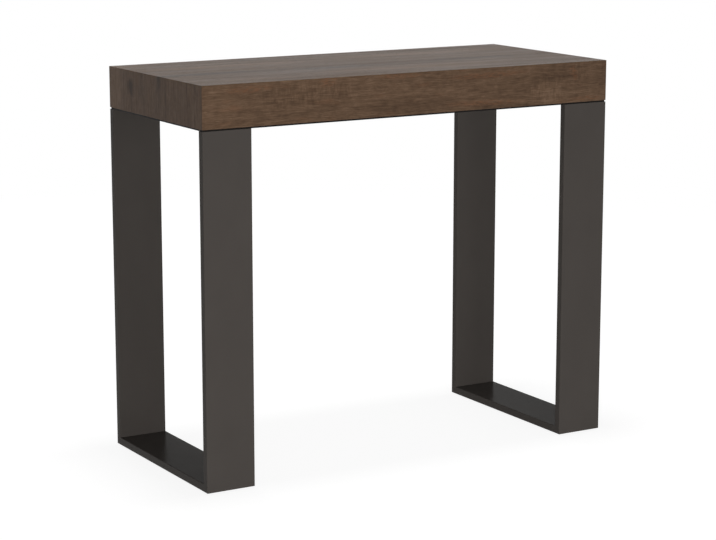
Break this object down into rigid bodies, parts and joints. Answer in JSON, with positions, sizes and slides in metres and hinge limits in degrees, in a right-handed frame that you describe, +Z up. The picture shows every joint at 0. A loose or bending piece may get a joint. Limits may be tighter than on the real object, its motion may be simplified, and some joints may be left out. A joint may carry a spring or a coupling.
{
  "type": "extending console table",
  "caption": "Narrow console table with a thick wood box top on flat-tube legs; the halves part at mid-depth and slide apart on telescopic rails to take leaves.",
  "frame": {"origin": "on the floor, at the middle of the closed table's plan", "axes": "+Z up, +X along the table's length, -Y to the front, which is the half that pulls out"},
  "size_m": [0.9, 0.4, 0.76],
  "materials": {
    "wood": "satin oak-effect foil",
    "frame_paint": "satin powder coat, anthracite",
    "rail_aluminium": "mill",
    "slider_nylon": "matte",
    "crossbar_steel": "zinc plated",
    "rivet_alloy": "plain",
    "screw_steel": "zinc plated",
    "plug_plastic": "moulded",
    "felt": "pressed felt",
    "dowel_beech": "plain turned"
  },
  "bodies": {
    "rear_half": {"rear_top_panel": "wood", "rear_apron": "wood", "rear_left_side": "wood", "rear_right_side": "wood", "rear_long_strip": "frame_paint", "rear_side_strips": "frame_paint", "rear_left_post": "frame_paint", "rear_right_post": "frame_paint", "rear_left_foot": "frame_paint", "rear_right_foot": "frame_paint", "rear_foot_plugs": "plug_plastic", "rear_felt_pads": "felt", "rear_frame_screws": "screw_steel", "left_rail_1": "rail_aluminium", "right_rail_1": "rail_aluminium", "rail_1_sliders": "slider_nylon", "rear_rail_screws": "screw_steel"},
    "stage_2": {"left_rail_2": "rail_aluminium", "right_rail_2": "rail_aluminium", "rail_2_sliders": "slider_nylon", "crossbar_2": "crossbar_steel", "crossbar_2_rivets": "rivet_alloy"},
    "stage_3": {"left_rail_3": "rail_aluminium", "right_rail_3": "rail_aluminium", "rail_3_sliders": "slider_nylon", "crossbar_3": "crossbar_steel", "crossbar_3_rivets": "rivet_alloy"},
    "stage_4": {"left_rail_4": "rail_aluminium", "right_rail_4": "rail_aluminium", "rail_4_sliders": "slider_nylon", "crossbar_4": "crossbar_steel", "crossbar_4_rivets": "rivet_alloy"},
    "stage_5": {"left_rail_5": "rail_aluminium", "right_rail_5": "rail_aluminium", "rail_5_sliders": "slider_nylon", "crossbar_5": "crossbar_steel", "crossbar_5_rivets": "rivet_alloy"},
    "stage_6": {"left_rail_6": "rail_aluminium", "right_rail_6": "rail_aluminium", "rail_6_sliders": "slider_nylon", "crossbar_6": "crossbar_steel", "crossbar_6_rivets": "rivet_alloy"},
    "front_half": {"front_top_panel": "wood", "front_apron": "wood", "front_left_side": "wood", "front_right_side": "wood", "front_long_strip": "frame_paint", "front_side_strips": "frame_paint", "front_left_post": "frame_paint", "front_right_post": "frame_paint", "front_left_foot": "frame_paint", "front_right_foot": "frame_paint", "front_foot_plugs": "plug_plastic", "front_felt_pads": "felt", "front_frame_screws": "screw_steel", "left_rail_7": "rail_aluminium", "right_rail_7": "rail_aluminium", "rail_7_sliders": "slider_nylon", "front_rail_screws": "screw_steel", "alignment_dowels": "dowel_beech"}
  },
  "joints": [
    {"name": "slide_1", "type": "slide", "parent": "rear_half", "child": "stage_2", "axis": [0, -1, 0], "range_m": [0, 0.26]},
    {"name": "slide_2", "type": "slide", "parent": "stage_2", "child": "stage_3", "axis": [0, -1, 0], "range_m": [0, 0.26]},
    {"name": "slide_3", "type": "slide", "parent": "stage_3", "child": "stage_4", "axis": [0, -1, 0], "range_m": [0, 0.26]},
    {"name": "slide_4", "type": "slide", "parent": "stage_4", "child": "stage_5", "axis": [0, -1, 0], "range_m": [0, 0.26]},
    {"name": "slide_5", "type": "slide", "parent": "stage_5", "child": "stage_6", "axis": [0, -1, 0], "range_m": [0, 0.26]},
    {"name": "slide_6", "type": "slide", "parent": "stage_6", "child": "front_half", "axis": [0, -1, 0], "range_m": [0, 0.26]}
  ]
}
